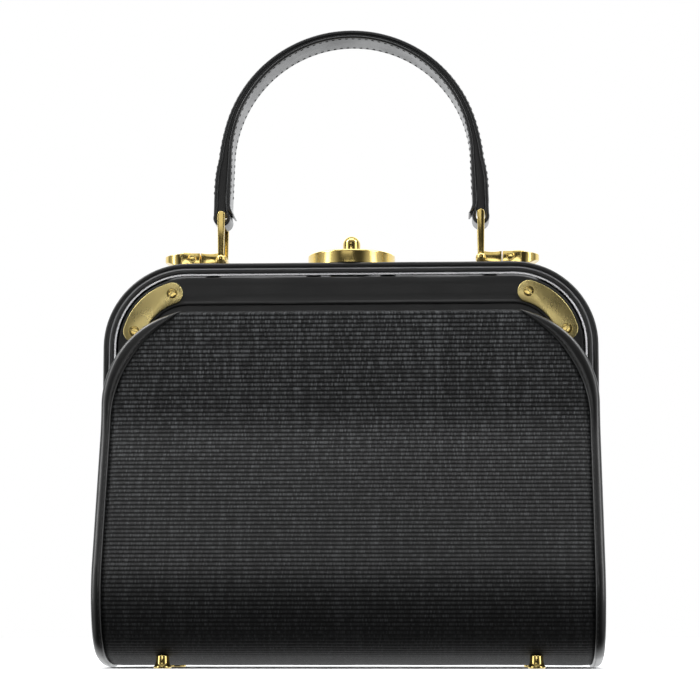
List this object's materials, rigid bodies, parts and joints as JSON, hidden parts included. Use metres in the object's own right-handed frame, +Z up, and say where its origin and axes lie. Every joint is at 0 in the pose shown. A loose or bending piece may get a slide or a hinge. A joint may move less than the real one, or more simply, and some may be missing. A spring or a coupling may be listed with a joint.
{
  "type": "doctor bag",
  "caption": "Framed top-handle doctor bag: arched leather frame, swinging front mouth, turn lock, ring-hung leather handle, brass fittings, woven body on bell feet.",
  "frame": {"origin": "on the floor, under the middle of the bag", "axes": "+X along the bag, to the right seen from the front; the front faces -Y; +Z up"},
  "size_m": [0.27, 0.1118, 0.3535],
  "materials": {
    "black_leather": "smooth polished calf leather",
    "horsehair": "ribbed woven horsehair, low sheen",
    "lining_cloth": "plain woven lining",
    "polished_brass": "mirror polished pale brass",
    "nickel": "satin nickel-plated steel",
    "frame_steel": "plain rolled steel",
    "blackened_steel": "black oxide",
    "board": "pressed fibre board"
  },
  "bodies": {
    "bag": {"arch_inner_cover": "black_leather", "arch_liner": "nickel", "arch_outer_cover": "black_leather", "arch_steel_core": "frame_steel", "base_board": "board", "body_wrap": "horsehair", "bracket_studs": "blackened_steel", "cap_pins": "polished_brass", "cap_screws": "polished_brass", "feet": "polished_brass", "foot_nuts": "nickel", "front_hinge_pins": "frame_steel", "left_binding": "black_leather", "left_gusset": "black_leather", "left_ring_block": "polished_brass", "left_ring_cap": "polished_brass", "lining": "lining_cloth", "lock_backplate": "blackened_steel", "lock_bushing": "polished_brass", "lock_plate": "polished_brass", "lock_studs": "blackened_steel", "rear_band_cover": "black_leather", "rear_band_rail": "frame_steel", "rear_corner_screws": "polished_brass", "rear_frame_rivets": "frame_steel", "rear_left_corner_plate": "polished_brass", "rear_right_corner_plate": "polished_brass", "rear_stiffener": "board", "right_binding": "black_leather", "right_gusset": "black_leather", "right_ring_block": "polished_brass", "right_ring_cap": "polished_brass"},
    "front_mouth": {"front_band_cover": "black_leather", "front_band_rail": "frame_steel", "front_left_corner_plate": "polished_brass", "front_right_corner_plate": "polished_brass", "front_corner_screws": "polished_brass", "front_stiffener": "board", "front_panel": "horsehair", "front_left_binding": "black_leather", "front_right_binding": "black_leather", "catch_plate": "nickel", "catch_screws": "nickel"},
    "turn_lock": {"lock_knob": "polished_brass", "lock_hook": "nickel", "hook_nut": "nickel"},
    "left_ring": {"left_ring": "polished_brass", "left_ring_pin": "polished_brass"},
    "right_ring": {"right_ring": "polished_brass", "right_ring_pin": "polished_brass"},
    "handle": {"handle_outer_strap": "black_leather", "handle_core": "board", "handle_inner_strap": "black_leather"}
  },
  "joints": [
    {"name": "mouth_hinge", "type": "hinge", "parent": "bag", "child": "front_mouth", "pos_m": [0, -0.0195, 0.128], "axis": [1, 0, 0], "range_deg": [0, 40]},
    {"name": "lock_turn", "type": "hinge", "parent": "bag", "child": "turn_lock", "pos_m": [0, 0, 0.23], "axis": [0, 0, 1], "range_deg": [0, 90]},
    {"name": "left_ring_swing", "type": "hinge", "parent": "bag", "child": "left_ring", "pos_m": [-0.072, 0, 0.2243], "axis": [0, 1, 0], "range_deg": [-45, 45]},
    {"name": "handle_pivot", "type": "hinge", "parent": "left_ring", "child": "handle", "pos_m": [-0.072, 0, 0.248], "axis": [0, 1, 0], "range_deg": [-45, 45]},
    {"name": "right_ring_swing", "type": "hinge", "parent": "bag", "child": "right_ring", "pos_m": [0.072, 0, 0.2243], "axis": [0, 1, 0], "range_deg": [-45, 45]}
  ],
  "couplings": [
    {"joint": "handle_pivot", "follows": "left_ring_swing", "ratio": -1},
    {"joint": "right_ring_swing", "follows": "left_ring_swing", "ratio": 1}
  ]
}
